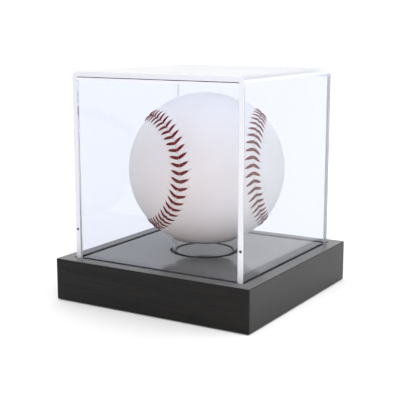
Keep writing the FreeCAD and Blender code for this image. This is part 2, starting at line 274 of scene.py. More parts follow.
def add(owner, kind, inputs=None, out=0, **settings):
    """Adds a node to a material or world and gives one of its outputs.

    inputs holds each socket's value, or the output that feeds it. stops holds a colour ramp's two (place, colour).
    """
    tree = owner.node_tree
    node = tree.nodes.new(kind)
    stops = settings.pop("stops", ())
    for name, setting in settings.items():
        setattr(node, name, setting)
    for name, source in (inputs or {}).items():
        if isinstance(source, bpy.types.NodeSocket):
            tree.links.new(source, node.inputs[name])
        else:
            node.inputs[name].default_value = source
    for index, (where, tint) in enumerate(stops):
        node.color_ramp.elements[index].position = where
        node.color_ramp.elements[index].color = tint
    return node.outputs[out] if node.outputs else None


def new_material(name):
    """A node material with nothing in it yet."""
    material = bpy.data.materials.new(name)
    material.use_nodes = True
    material.node_tree.nodes.clear()
    return material


def grey(level):
    """A grey as a node colour."""
    return (level, level, level, 1)


def darker(tint, share):
    """A colour with so large a share of its light."""
    return tuple(channel * share for channel in tint[:3]) + (1,)


def stained_wood(settings):
    """Straight-grained hardwood, planed, stained black and thinly lacquered: satin, with the grain just showing."""
    material = new_material("stained_hardwood")
    own = add(material, "ShaderNodeTexCoord", out="Object")
    line = 1 / settings.grain_line
    # The grain runs along X: fibres 30 times as long as wide, pores 20 times, and a broad figure of some 15 mm.
    along = add(material, "ShaderNodeMapping", {"Vector": own, "Scale": (line * 0.03, line * 0.9, line)})
    fibres = add(material, "ShaderNodeTexNoise", {"Vector": along, "Scale": 1.0, "Detail": 5, "Roughness": 0.62})
    broad = add(material, "ShaderNodeMapping", {"Vector": own, "Scale": (0.004 / MM, 0.06 / MM, 0.09 / MM)})
    figure = add(material, "ShaderNodeTexNoise", {"Vector": broad, "Scale": 1.0, "Detail": 2, "Distortion": 0.6})
    narrow = add(material, "ShaderNodeMapping", {"Vector": own, "Scale": (line * 0.12, line * 2.6, line * 2.6)})
    pores = add(material, "ShaderNodeTexVoronoi", {"Vector": narrow, "Scale": 1.0})
    pits = add(material, "ShaderNodeValToRGB", {"Fac": pores}, stops=((0.02, grey(0)), (0.22, grey(1))))
    worn = add(material, "ShaderNodeMath", {0: fibres, 1: figure}, operation="MULTIPLY")
    tones = ((0.16, tuple(settings.wood_colour)), (0.36, tuple(settings.wear_colour)))
    tone = add(material, "ShaderNodeValToRGB", {"Fac": worn}, stops=tones)
    # The rim's top gets a paler colour where the surface looks up: painted reflection, standing in for the
    # lacquer's bright grazing reflection.
    normal = add(material, "ShaderNodeNewGeometry", out="Normal")
    up = add(material, "ShaderNodeSeparateXYZ", {"Vector": normal}, out="Z")
    top = add(material, "ShaderNodeValToRGB", {"Fac": up}, stops=((0.6, grey(0)), (0.95, grey(1))))
    # Painted reflection: this mix lays the paler top colour on the faces that look up.
    rubbed = {"Factor": top, 6: tone, 7: tuple(settings.painted_top_colour)}
    tone = add(material, "ShaderNodeMix", rubbed, out=2, data_type="RGBA")
    rough = add(material, "ShaderNodeMapRange", {"Value": fibres, "To Min": 0.15, "To Max": 0.3})
    relief = add(material, "ShaderNodeBump", {"Height": fibres, "Distance": 0.05 * MM, "Strength": 0.6})
    pitted = {"Height": pits, "Distance": 0.04 * MM, "Strength": 0.5, "Normal": relief}
    relief = add(material, "ShaderNodeBump", pitted)
    lacquer = {"Base Color": tone, "Roughness": rough, "IOR": 1.27, "Normal": relief}
    wood = add(material, "ShaderNodeBsdfPrincipled", lacquer)
    add(material, "ShaderNodeOutputMaterial", {"Surface": wood})
    return material


def black_acrylic(settings):
    """Black cast acrylic sheet, as it comes: a gloss that mirrors the ring, with faint handling marks, on a grey
    base colour that is painted reflection.
    """
    material = new_material("black_cast_acrylic")
    own = add(material, "ShaderNodeTexCoord", out="Object")
    marks = {"Vector": own, "Scale": 1 / (9 * MM), "Detail": 4, "Roughness": 0.6}
    marks = add(material, "ShaderNodeTexNoise", marks)
    rough = add(material, "ShaderNodeMapRange", {"Value": marks, "To Min": 0.05, "To Max": 0.11})
    wave = add(material, "ShaderNodeTexNoise", {"Vector": own, "Scale": 1 / (28 * MM), "Detail": 1})
    relief = add(material, "ShaderNodeBump", {"Height": wave, "Distance": 0.02 * MM, "Strength": 0.5})
    # Painted reflection: the base colour is a grey in place of black.
    sheet = {
        "Base Color": tuple(settings.plate_painted_grey),
        "Roughness": rough,
        "IOR": 1.38,
        "Specular Tint": grey(0.72),
        "Normal": relief,
    }
    sheet = add(material, "ShaderNodeBsdfPrincipled", sheet)
    add(material, "ShaderNodeOutputMaterial", {"Surface": sheet})
    return material


def cut_groove():
    """Black acrylic as a cutter leaves it: matt, with no gloss."""
    material = new_material("machined_black_acrylic")
    own = add(material, "ShaderNodeTexCoord", out="Object")
    marks = add(material, "ShaderNodeTexNoise", {"Vector": own, "Scale": 1 / (0.2 * MM), "Detail": 2})
    rough = add(material, "ShaderNodeMapRange", {"Value": marks, "To Min": 0.6, "To Max": 0.8})
    cut = {"Base Color": linear("#020202"), "Roughness": rough, "IOR": 1.1}
    cut = add(material, "ShaderNodeBsdfPrincipled", cut)
    add(material, "ShaderNodeOutputMaterial", {"Surface": cut})
    return material


def clear_acrylic(name, tint, rough=0.0, wave_height=0.01 * MM, painted_glow_share=0.0, gloss=0.25):
    """Clear acrylic, glossy and hardly wavy, that lets the lamps through so that what stands inside is lit.

    Its whitish share carries a painted highlight and a faint painted glow; gloss is the strength of its
    reflections.
    """
    material = new_material(name)
    own = add(material, "ShaderNodeTexCoord", out="Object")
    wave = add(material, "ShaderNodeTexNoise", {"Vector": own, "Scale": 1 / (35 * MM), "Detail": 1})
    relief = add(material, "ShaderNodeBump", {"Height": wave, "Distance": wave_height, "Strength": 0.4})
    solid = {
        "Base Color": tint,
        "Roughness": rough,
        "IOR": 1.49,
        "Specular Tint": grey(gloss),
        "Transmission Weight": 1.0,
        "Normal": relief,
    }
    solid = add(material, "ShaderNodeBsdfPrincipled", solid)
    # Painted highlight: a whitish layer with a faint glow of its own, though it is no lamp.
    if painted_glow_share:
        white = {
            "Base Color": linear("#E9ECF6"),
            "Roughness": 0.3,
            "Emission Color": grey(1),
            "Emission Strength": 0.15,
        }
        white = add(material, "ShaderNodeBsdfPrincipled", white)
        solid = add(material, "ShaderNodeMixShader", {0: painted_glow_share, 1: solid, 2: white})
    clear = add(material, "ShaderNodeBsdfTransparent", {"Color": tint})
    shadow = add(material, "ShaderNodeLightPath", out="Is Shadow Ray")
    both = add(material, "ShaderNodeMixShader", {0: shadow, 1: solid, 2: clear})
    add(material, "ShaderNodeOutputMaterial", {"Surface": both})
    return material


def sawn_acrylic(tint):
    """A sawn and scraped edge of clear acrylic: whitish, with a faint painted glow standing in for the light the
    sheet gathers.
    """
    material = new_material("sawn_acrylic_edge")
    own = add(material, "ShaderNodeTexCoord", out="Object")
    marks = add(material, "ShaderNodeTexNoise", {"Vector": own, "Scale": 1 / (0.4 * MM), "Detail": 3})
    rough = add(material, "ShaderNodeMapRange", {"Value": marks, "To Min": 0.3, "To Max": 0.5})
    edge = {
        "Base Color": tint,
        "Roughness": rough,
        "IOR": 1.49,
        # Painted glow: the edge gives off a little light of its own.
        "Emission Color": tint,
        "Emission Strength": 0.05,
    }
    edge = add(material, "ShaderNodeBsdfPrincipled", edge)
    add(material, "ShaderNodeOutputMaterial", {"Surface": edge})
    return material


def dried_cement():
    """Dried solvent cement in a joint, which shows as a dark line, uneven along its length."""
    material = new_material("dried_acrylic_cement")
    own = add(material, "ShaderNodeTexCoord", out="Object")
    along = add(material, "ShaderNodeMapping", {"Vector": own, "Scale": (1 / (2.5 * MM), 1, 1)})
    runs = add(material, "ShaderNodeTexNoise", {"Vector": along, "Scale": 1.0, "Detail": 3})
    tones = ((0.3, linear("#2A2F3A")), (0.7, linear("#5B6474")))
    tone = add(material, "ShaderNodeValToRGB", {"Fac": runs}, stops=tones)
    cement = add(material, "ShaderNodeBsdfPrincipled", {"Base Color": tone, "Roughness": 0.25})
    add(material, "ShaderNodeOutputMaterial", {"Surface": cement})
    return material


def ball_leather(settings):
    """Alum-tanned horsehide, rolled smooth: matt white, a fine pebble grain, slightly warm in broad random patches.
    """
    material = new_material("tanned_horsehide")
    own = add(material, "ShaderNodeTexCoord", out="Object")
    pebbles = {"Vector": own, "Scale": 1 / settings.grain, "Smoothness": 0.6}
    pebbles = add(material, "ShaderNodeTexVoronoi", pebbles, feature="SMOOTH_F1")
    fine = add(material, "ShaderNodeTexNoise", {"Vector": own, "Scale": 3.1 / settings.grain, "Detail": 3})
    cloud = {"Vector": own, "Scale": 1 / (16 * MM), "Detail": 3, "Roughness": 0.6}
    cloud = add(material, "ShaderNodeTexNoise", cloud)
    light = tuple(settings.leather_colour)
    warm = tuple(channel * share for channel, share in zip(light, (0.965, 0.95, 0.925))) + (1,)
    tone = add(material, "ShaderNodeValToRGB", {"Fac": cloud}, stops=((0.3, warm), (0.62, light)))
    rough = add(material, "ShaderNodeMapRange", {"Value": fine, "To Min": 0.42, "To Max": 0.6})
    relief = add(material, "ShaderNodeBump", {"Height": pebbles, "Distance": 0.035 * MM, "Strength": 0.5})
    creased = {"Height": fine, "Distance": 0.02 * MM, "Strength": 0.4, "Normal": relief}
    relief = add(material, "ShaderNodeBump", creased)
    hide = {
        "Base Color": tone,
        "Roughness": rough,
        "IOR": 1.45,
        "Normal": relief,
        "Subsurface Weight": 0.08,
        "Subsurface Radius": (1.2 * MM, 0.9 * MM, 0.7 * MM),
        "Subsurface Scale": 1.0,
    }
    hide = add(material, "ShaderNodeBsdfPrincipled", hide)
    add(material, "ShaderNodeOutputMaterial", {"Surface": hide})
    return material


def waxed_thread(settings):
    """Waxed cotton thread, two plies twisted: dull red, with painted shade between the plies."""
    material = new_material("waxed_cotton_thread")
    along = add(material, "ShaderNodeUVMap", uv_map=THREAD_MAP)
    twist = {"Vector": along, "Scale": 1.0, "Distortion": 0.4, "Detail": 1}
    ply = add(material, "ShaderNodeTexWave", twist, out="Fac", bands_direction="DIAGONAL")
    red = tuple(settings.thread_colour)
    # Painted shade: the thread darkens where the plies dip between each other.
    tone = add(material, "ShaderNodeValToRGB", {"Fac": ply}, stops=((0.1, darker(red, 0.7)), (0.6, red)))
    relief = add(material, "ShaderNodeBump", {"Height": ply, "Distance": 0.1 * MM, "Strength": 0.6})
    cotton = {"Base Color": tone, "Roughness": 0.7, "Specular IOR Level": 0.1, "Normal": relief}
    cotton = add(material, "ShaderNodeBsdfPrincipled", cotton)
    add(material, "ShaderNodeOutputMaterial", {"Surface": cotton})
    return material


def moulded_rubber(name, tint):
    """Moulded rubber: matt, with a fine bloom."""
    material = new_material(name)
    own = add(material, "ShaderNodeTexCoord", out="Object")
    bloom = add(material, "ShaderNodeTexNoise", {"Vector": own, "Scale": 1 / (0.9 * MM), "Detail": 4})
    tone = add(material, "ShaderNodeValToRGB", {"Fac": bloom}, stops=((0.3, darker(tint, 0.7)), (0.7, tint)))
    rough = add(material, "ShaderNodeMapRange", {"Value": bloom, "To Min": 0.6, "To Max": 0.85})
    relief = add(material, "ShaderNodeBump", {"Height": bloom, "Distance": 0.03 * MM, "Strength": 0.5})
    rubber = add(material, "ShaderNodeBsdfPrincipled", {"Base Color": tone, "Roughness": rough, "Normal": relief})
    add(material, "ShaderNodeOutputMaterial", {"Surface": rubber})
    return material


def foam_tape():
    """White acrylic foam tape: closed cells, matt, each cell painted darker towards its dip as shade."""
    material = new_material("acrylic_foam_tape")
    own = add(material, "ShaderNodeTexCoord", out="Object")
    cells = add(material, "ShaderNodeTexVoronoi", {"Vector": own, "Scale": 1 / (0.35 * MM)})
    # Painted shade: each cell is darker at its middle, where the bump dips.
    tones = ((0.0, linear("#C9C9C4")), (0.5, linear("#ECECE8")))
    tone = add(material, "ShaderNodeValToRGB", {"Fac": cells}, stops=tones)
    relief = add(material, "ShaderNodeBump", {"Height": cells, "Distance": 0.08 * MM, "Strength": 0.6})
    foam = add(material, "ShaderNodeBsdfPrincipled", {"Base Color": tone, "Roughness": 0.8, "Normal": relief})
    add(material, "ShaderNodeOutputMaterial", {"Surface": foam})
    return material


def wound_yarn(name, tint, width):
    """Yarn wound round and round a ball: crossing bands of strands, fuzzy and matt, with painted shade between the
    strands.
    """
    material = new_material(name)
    own = add(material, "ShaderNodeTexCoord", out="Object")
    top = None
    for turn in ((0.3, 0.2, 0.0), (1.3, 0.1, 0.9), (0.6, 1.2, 2.0)):
        laid = {"Vector": own, "Scale": (1 / width,) * 3, "Rotation": turn}
        laid = add(material, "ShaderNodeMapping", laid)
        strands = {"Vector": laid, "Scale": 0.5, "Distortion": 1.2, "Detail": 1, "Detail Scale": 0.4}
        strands = add(material, "ShaderNodeTexWave", strands, out="Fac")
        both = {0: top or 0.0, 1: strands}
        top = add(material, "ShaderNodeMath", both, operation="MAXIMUM")
    # Painted shade: the yarn darkens to under half its colour between the strands.
    tone = add(material, "ShaderNodeValToRGB", {"Fac": top}, stops=((0.55, darker(tint, 0.45)), (0.95, tint)))
    relief = add(material, "ShaderNodeBump", {"Height": top, "Distance": 0.3 * MM, "Strength": 0.8})
    yarn = {"Base Color": tone, "Roughness": 0.9, "Normal": relief, "Sheen Weight": 0.3}
    yarn = add(material, "ShaderNodeBsdfPrincipled", yarn)
    add(material, "ShaderNodeOutputMaterial", {"Surface": yarn})
    return material


def pressed_cork():
    """Composition cork: crumbs of light and dark bark pressed together."""
    material = new_material("composition_cork")
    own = add(material, "ShaderNodeTexCoord", out="Object")
    crumb = 1 / (1.4 * MM)
    shades = add(material, "ShaderNodeTexVoronoi", {"Vector": own, "Scale": crumb}, out="Color")
    shade = add(material, "ShaderNodeSeparateColor", {"Color": shades}, out="Red")
    hollows = add(material, "ShaderNodeTexVoronoi", {"Vector": own, "Scale": crumb})
    tones = ((0.1, linear("#7A5230")), (0.6, linear("#C09463")))
    tone = add(material, "ShaderNodeValToRGB", {"Fac": shade}, stops=tones)
    relief = add(material, "ShaderNodeBump", {"Height": hollows, "Distance": 0.15 * MM, "Strength": 0.6})
    cork = add(material, "ShaderNodeBsdfPrincipled", {"Base Color": tone, "Roughness": 0.85, "Normal": relief})
    add(material, "ShaderNodeOutputMaterial", {"Surface": cork})
    return material


# ---------------------------------------------------------------- the ball's seam


class Seam:
    """The seam of a ball about the origin, in metres: evenly spaced points, each with its own directions."""

    PER_STITCH = 32
    STEPS = 20000

    def __init__(self, settings):
        self.radius = WINDING_RADIUS + settings.leather_thickness
        self.reach = settings.seam_reach
        steps = [self.direction(2 * math.pi * index / self.STEPS) for index in range(self.STEPS + 1)]
        lengths = [0.0]
        for before, after in zip(steps, steps[1:]):
            lengths.append(lengths[-1] + (after - before).length)
        self.pitch = lengths[-1] * self.radius / settings.stitches
        count = settings.stitches * self.PER_STITCH
        self.spacing = lengths[-1] * self.radius / count
        self.outward, self.along, self.across = [], [], []
        step = 0
        for index in range(count):
            wanted = lengths[-1] * index / count
            while lengths[step + 1] <= wanted:
                step += 1
            share = (wanted - lengths[step]) / (lengths[step + 1] - lengths[step])
            angle = 2 * math.pi * (step + share) / self.STEPS
            small = math.pi / self.STEPS
            outward = self.direction(angle)
            along = (self.direction(angle + small) - self.direction(angle - small)).normalized()
            self.outward.append(outward)
            self.along.append(along)
            self.across.append(outward.cross(along))
        self.tree = kdtree.KDTree(count)
        for index, outward in enumerate(self.outward):
            self.tree.insert(outward, index)
        self.tree.balance()

    def direction(self, angle):
        """A point of the seam on a ball of radius 1."""
        long, short = self.reach, 1 - self.reach
        return Vector(
            (
                long * math.cos(angle) + short * math.cos(3 * angle),
                long * math.sin(angle) - short * math.sin(3 * angle),
                2 * math.sqrt(long * short) * math.sin(2 * angle),
            )
        )

    def near(self, direction):
        """(distance along the seam, distance across it) of the spot in a direction, in metres."""
        _, index, _ = self.tree.find(direction)
        away = (direction - self.outward[index]) * self.radius
        return index * self.spacing + away.dot(self.along[index]), away.dot(self.across[index])

    def nearest(self, direction):
        """The direction of the seam's nearest point."""
        _, index, _ = self.tree.find(direction)
        step = (direction - self.outward[index]).dot(self.along[index])
        return (self.outward[index] + self.along[index] * step).normalized()


def fade(start, end, value):
    """1 before start, 0 after end, smooth between."""
    share = min(max((value - start) / (end - start), 0), 1)
    return 1 - share * share * (3 - 2 * share)


def bell(distance, width):
    """1 at a distance of 0, falling smoothly to nothing over about two widths."""
    return math.exp(-((distance / width) ** 2))


# The leather beside the seam: distances from the seam, then depths and the widths that they spread over.
RAISED_END = 7.5 * MM
RIDGE_FOOT, RIDGE_TOP, RIDGE_END = 0.55 * MM, 1.0 * MM, 6.0 * MM
CREASE_DEPTH, CREASE_WIDTH = 0.35 * MM, 0.35 * MM
THREAD_START, THREAD_FULL, THREAD_PAST = 0.2 * MM, 1.0 * MM, 0.9 * MM
DENT_DEPTH, DENT_WIDTH = 0.22 * MM, 0.55 * MM
PUFF_HEIGHT, PUFF_WIDTH = 0.07 * MM, 1.2 * MM
HOLE_DEPTH, HOLE_WIDTH = 0.4 * MM, 0.5 * MM


def leather_height(settings, pitch, along, across):
    """How far the leather stands above the plain ball, in metres, from its place beside the seam."""
    side = abs(across)
    if side > RAISED_END:
        return 0.0
    height = settings.ridge * (1 - bell(side, RIDGE_FOOT)) * fade(RIDGE_TOP, RIDGE_END, side)
    height -= CREASE_DEPTH * bell(side, CREASE_WIDTH)
    leg = along + settings.stitch_slant * side / settings.stitch_side
    off_leg = (leg / pitch - math.floor(leg / pitch + 0.5)) * pitch
    under = fade(settings.stitch_side, settings.stitch_side + THREAD_PAST, side)
    under *= 1 - fade(THREAD_START, THREAD_FULL, side)
    height -= DENT_DEPTH * bell(off_leg, DENT_WIDTH) * under
    height += PUFF_HEIGHT * (1 - bell(off_leg, PUFF_WIDTH)) * under
    from_hole = math.hypot(side - settings.stitch_side, off_leg)
    height -= HOLE_DEPTH * bell(from_hole, HOLE_WIDTH)
    return height


def ball_matrix(settings):
    """From a ball about the origin to where the ball lies in its case."""
    turn = Euler(settings.turn, "XYZ").to_matrix().to_4x4()
    return Matrix.Translation(BALL_CENTRE) @ turn


def finer(bm, seam, reach):
    """Divides the faces that lie within reach of the seam, and brings the new points onto the ball."""
    edges = [
        edge
        for edge in bm.edges
        if abs(seam.near(((edge.verts[0].co + edge.verts[1].co) / 2).normalized())[1]) < reach
    ]
    near = {vert for edge in edges for vert in edge.verts if abs(seam.near(vert.co.normalized())[1]) < reach * 1.3}
    edges = [edge for edge in bm.edges if edge.verts[0] in near and edge.verts[1] in near]
    bmesh.ops.subdivide_edges(bm, edges=edges, cuts=1, use_grid_fill=True)
    bmesh.ops.triangulate(bm, faces=[face for face in bm.faces if len(face.verts) > 3])
    for vert in bm.verts:
        vert.co.normalize()


def leather_sphere(seam):
    """A ball of radius 1, fine beside the seam, with a line of its edges exactly on the seam."""
    bm = shape()
    bmesh.ops.create_icosphere(bm, subdivisions=6, radius=1.0)
    reaches = ((7.5 * MM, 6.0 * MM, 1.5 * MM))
    for reach in reaches:
        finer(bm, seam, reach)
    off = {vert: seam.near(vert.co)[1] for vert in bm.verts}
    for edge in list(bm.edges):
        one, other = edge.verts
        if off[one] * off[other] < 0:
            closer = one if abs(off[one]) < abs(off[other]) else other
            closer.co = seam.nearest(closer.co)
            off[closer] = 0.0
    bmesh.ops.dissolve_degenerate(bm, edges=bm.edges, dist=1e-5)
    return bm


def leather_panel(sphere, seam, settings, keep_side):
    """One leather piece, cut from the ball along the seam, raised and creased, and given its thickness."""
    bm = sphere.copy()
    sides = {}
    for vert in bm.verts:
        along, across = seam.near(vert.co.normalized())
        sides[vert] = across
        vert.co = vert.co.normalized() * (seam.radius + leather_height(settings, seam.pitch, along, across))
    drop = [face for face in bm.faces if sum(sides[vert] for vert in face.verts) * keep_side < 0]
    bmesh.ops.delete(bm, geom=drop, context="FACES")
    inner = bmesh.ops.duplicate(bm, geom=bm.faces[:])
    wall = settings.leather_thickness * 0.98
    for item in inner["geom"]:
        if isinstance(item, bmesh.types.BMVert):
            item.co = item.co.normalized() * (seam.radius - wall)
    inner_faces = [item for item in inner["geom"] if isinstance(item, bmesh.types.BMFace)]
    bmesh.ops.reverse_faces(bm, faces=inner_faces)
    rims = [edge for edge in bm.edges if edge.is_boundary]
    bmesh.ops.bridge_loops(bm, edges=rims)
    return bm


THREAD_MAP = "thread"
THREAD_SIDES, THREAD_STEPS = 8, 5
THREAD_TURNS = 4.4  # twists of the two plies along one leg of a stitch
LEG_START = 0.12 * MM  # from the seam
THREAD_PROUD, THREAD_SUNK = 0.2 * MM, 0.45 * MM
THREAD_TAPER, THREAD_FLAT = 0.55, 0.5  # width lost by the hole, and thickness as a share of width


def stitch_shape(settings, pitch, radius):
    """One side of a V stitch, in the seam's own directions: X across, Y along, Z outward from the ball's middle."""
    bm = shape()
    uv_layer = bm.loops.layers.uv.new(THREAD_MAP)
    ring = bmesh.ops.create_circle(bm, cap_ends=False, radius=1.0, segments=THREAD_SIDES)["verts"]
    ring_edges = bm.edges[:]
    rings = [ring]
    for _ in range(THREAD_STEPS):
        grown = bmesh.ops.extrude_edge_only(bm, edges=ring_edges)["geom"]
        ring = [item for item in grown if isinstance(item, bmesh.types.BMVert)]
        ring_edges = [item for item in grown if isinstance(item, bmesh.types.BMEdge) and item.is_boundary]
        rings.append(ring)
    turn = math.atan2(-settings.stitch_slant, settings.stitch_side)
    sideways = Vector((-math.sin(turn), math.cos(turn), 0))
    for index, ring in enumerate(rings):
        share = index / THREAD_STEPS
        across = LEG_START + (settings.stitch_side - LEG_START) * share
        along = -settings.stitch_slant * across / settings.stitch_side
        height = leather_height(settings, pitch, along, across) + THREAD_PROUD - THREAD_SUNK * share**3
        width = settings.thread_width / 2 * (1 - THREAD_TAPER * share**2)
        outward = Vector((math.sin(across / radius), 0, math.cos(across / radius)))
        centre = outward * (radius + height) + Vector((0, along, 0))
        for vert in ring:
            x, y, _ = vert.co
            vert.co = centre + sideways * (x * width) + outward * (y * width * THREAD_FLAT)
    for face in bm.faces:
        for loop in face.loops:
            step = next(place for place, ring in enumerate(rings) if loop.vert in ring)
            around = rings[step].index(loop.vert) / THREAD_SIDES
            loop[uv_layer].uv = (step * THREAD_TURNS / THREAD_STEPS, around)
    bmesh.ops.holes_fill(bm, edges=[edge for edge in bm.edges if edge.is_boundary], sides=0)
    bmesh.ops.recalc_face_normals(bm, faces=bm.faces)
    return bm


# ---------------------------------------------------------------- the base


class CASE_OT_wood_base(bpy.types.Operator):
    """Finish the wooden block in black stain"""

    bl_idname = "display_case.wood_base"
    bl_label = "Wooden base"

    def execute(self, context):
        repaint("wood_base", stained_wood(context.scene.case_base))
        return {"FINISHED"}


class CASE_OT_floor_plate(bpy.types.Operator):
    """Make the black plate with its round groove"""

    bl_idname = "display_case.floor_plate"
    bl_label = "Floor plate"

    def execute(self, context):
        settings = context.scene.case_base
        half, top, bottom = PLATE_HIGH.x, PLATE_HIGH.z, PLATE_LOW.z
        outer = RING_HIGH.x + settings.groove
        inner = RING_HIGH.x - context.scene.case_cover.ring_wall - settings.groove
        low = top - settings.groove_depth
        lip, edge = 0.05 * MM, 0.2 * MM
        profile = (
            (0, top),
            (inner - lip, top),
            (inner, top - lip),
            (inner, low),
            (outer, low),
            (outer, top - lip),
            (outer + lip, top),
            (half - edge, top),
            (half, top - edge),
            (half, bottom),
            (0, bottom),
        )
        bm = turned(profile, 160)
        for vert in bm.verts:  # the round rim is drawn out to a square
            reach = vert.co.xy.length
            if reach > half - 2 * edge:
                vert.co.xy *= reach / max(abs(vert.co.x), abs(vert.co.y))
        for face in bm.faces:
            middle = face.calc_center_median()
            cut = inner - lip < middle.xy.length < outer + lip and middle.z < top - NEAR
            face.material_index = int(cut)
        materials = [black_acrylic(settings), cut_groove()]
        piece("black_floor_plate", bm, materials, "base", ["floor_plate"])
        return {"FINISHED"}


class CASE_OT_plate_tape(bpy.types.Operator):
    """Finish the foam tape under the plate"""

    bl_idname = "display_case.plate_tape"
    bl_label = "Plate tape"

    def execute(self, context):
        repaint("plate_tape", foam_tape())
        return {"FINISHED"}


class CASE_OT_foot_pads(bpy.types.Operator):
    """Make the four rubber feet"""

    bl_idname = "display_case.foot_pads"
    bl_label = "Foot pads"

    def execute(self, context):
        rubber = moulded_rubber("foot_rubber", tuple(context.scene.case_base.rubber_colour))
        edge, steps = 0.35 * MM, 4
        for corner in ("front_left", "front_right", "back_left", "back_right"):
            node = f"foot_pad_{corner}"
            low, high = boxes(node)
            radius = (high.x - low.x) / 2
            profile = [(0, low.z)]
            for step in range(steps + 1):
                angle = math.pi / 2 * step / steps
                profile.append((radius - edge + edge * math.sin(angle), low.z + edge - edge * math.cos(angle)))
            profile += [(radius, high.z), (0, high.z)]
            bm = turned(profile, 64)
            middle = (low + high) / 2
            bmesh.ops.translate(bm, vec=(middle.x, middle.y, 0), verts=bm.verts)
            piece(f"rubber_foot_{corner}", bm, [rubber], "base", [node])
        return {"FINISHED"}


# ---------------------------------------------------------------- the ring and the cover


class CASE_OT_ring_stand(bpy.types.Operator):
    """Turn the clear ring that the ball sits on"""

    bl_idname = "display_case.ring_stand"
    bl_label = "Ring stand"

    def execute(self, context):
        outer, bottom, top = RING_HIGH.x, RING_LOW.z, RING_HIGH.z
        inner = outer - context.scene.case_cover.ring_wall
        land, drop, edge = 0.5 * MM, 0.46 * MM, 0.12 * MM
        profile = (
            (inner, bottom + edge),
            (inner + edge, bottom),
            (outer - edge, bottom),
            (outer, bottom + edge),
            (outer, top - edge),
            (outer - edge, top),
            (outer - land, top),
            (inner, top - drop),
        )
        clear = clear_acrylic("turned_acrylic", linear("#FAFAF8"), wave_height=0.0)
        piece("clear_ring", turned(profile, 192), [clear], "ring", ["ring_stand"])
        return {"FINISHED"}


def is_bottom(face):
    """Whether a face lies at the cover's open edge and looks down."""
    return face.normal.z < -0.3 and face.calc_center_median().z < COVER_LOW.z + 1 * MM


def bend_sheet(settings, materials):
    """The sheet that makes the cover's top and two legs, bent round the two upper edges."""
    bm = shape()
    x, top, bottom = COVER_HIGH.x, COVER_HIGH.z, COVER_LOW.z
    outline = ((-x, bottom), (-x, top), (x, top), (x, bottom))
    verts = [bm.verts.new((across, COVER_LOW.y, up)) for across, up in outline]
    edges = [bm.edges.new(pair) for pair in zip(verts, verts[1:])]
    grown = bmesh.ops.extrude_edge_only(bm, edges=edges)["geom"]
    moved = [item for item in grown if isinstance(item, bmesh.types.BMVert)]
    bmesh.ops.translate(bm, vec=(0, COVER_HIGH.y - COVER_LOW.y, 0), verts=moved)
    bmesh.ops.recalc_face_normals(bm, faces=bm.faces)
    if next(face for face in bm.faces if abs(face.normal.z) > 0.9).normal.z < 0:
        bmesh.ops.reverse_faces(bm, faces=bm.faces)
    folds = [edge for edge in bm.edges if not edge.is_boundary]
    soften(bm, folds, settings.bend, settings.bend_steps)
    bmesh.ops.solidify(bm, geom=bm.faces[:], thickness=WALL)
    bmesh.ops.recalc_face_normals(bm, faces=bm.faces)
    soften(bm, sharp_edges(bm), settings.edge_break, 1)
    # The bends, index 2, get the whitish layer with its painted highlight and glow.
    for face in bm.faces:  # 0 flat legs, 1 sawn edges, 2 bends, 3 flat top
        x, y, z = (abs(value) for value in face.normal)
        bent = x < FLAT and z < FLAT
        sawn = y > 0.3 or is_bottom(face)
        face.material_index = 1 if sawn else 2 if bent else 3 if z > FLAT else 0
    piece("bent_sheet", bm, materials, "cover", ["cover_bent_sheet"])


def set_window(settings, materials, name, node):
    """A flat panel between the legs, with a bevelled top edge and a whitish strip along its cemented top, with a
    painted glow.
    """
    low, high = boxes(node)
    gap = Vector((settings.joint, 0, 0))
    top = high.z - settings.joint
    bm = block(low + gap, Vector((high.x - settings.joint, high.y, top)))
    corners = [
        edge
        for edge in bm.edges
        if all(abs(vert.co.z - top) < NEAR for vert in edge.verts)
        and abs(edge.verts[0].co.x - edge.verts[1].co.x) < NEAR
    ]
    soften(bm, corners, 0.5 * MM, 4)
    outside = low.y if low.y < 0 else high.y
    lip = [
        edge
        for edge in bm.edges
        if all(abs(vert.co.y - outside) < NEAR and vert.co.z > top - 0.6 * MM for vert in edge.verts)
    ]
    soften(bm, lip, settings.lip, 1)
    everything = bm.verts[:] + bm.edges[:] + bm.faces[:]
    level = Vector((0, 0, top - settings.cement))
    bmesh.ops.bisect_plane(bm, geom=everything, dist=0.001 * MM, plane_co=level, plane_no=(0, 0, 1))
    soften(bm, sharp_edges(bm), settings.edge_break, 1)
    # Index 2, the whitish strip and the sides, gets the layer with a painted glow.
    for face in bm.faces:  # 0 clear, 1 sawn edge, 2 whitened, 3 cement line
        in_cement = face.calc_center_median().z > COVER_HIGH.z - WALL - settings.cement
        in_lip = in_cement and abs(face.normal.y) > 0.3 and face.normal.z > 0.3
        white = in_cement or abs(face.normal.y) < 0.9
        face.material_index = 3 if in_lip else 1 if is_bottom(face) else 2 if white else 0
    piece(name, bm, materials, "cover", [node])


def trap_bubbles(settings, cement):
    """One flat bubble in the cement near the foot of each front leg."""
    bm = shape()
    for side in (-1, 1):
        made = bmesh.ops.create_icosphere(bm, subdivisions=3, radius=settings.bubble / 2)["verts"]
        bmesh.ops.scale(bm, vec=(1, 0.3, 1), verts=made)
        across = side * (COVER_HIGH.x - WALL / 2)
        where = (across, COVER_LOW.y + 0.02 * MM, BLOCK_HIGH.z + settings.bubble_height)
        bmesh.ops.translate(bm, vec=where, verts=made)
    piece("cement_bubbles", bm, [cement], "cover", [])


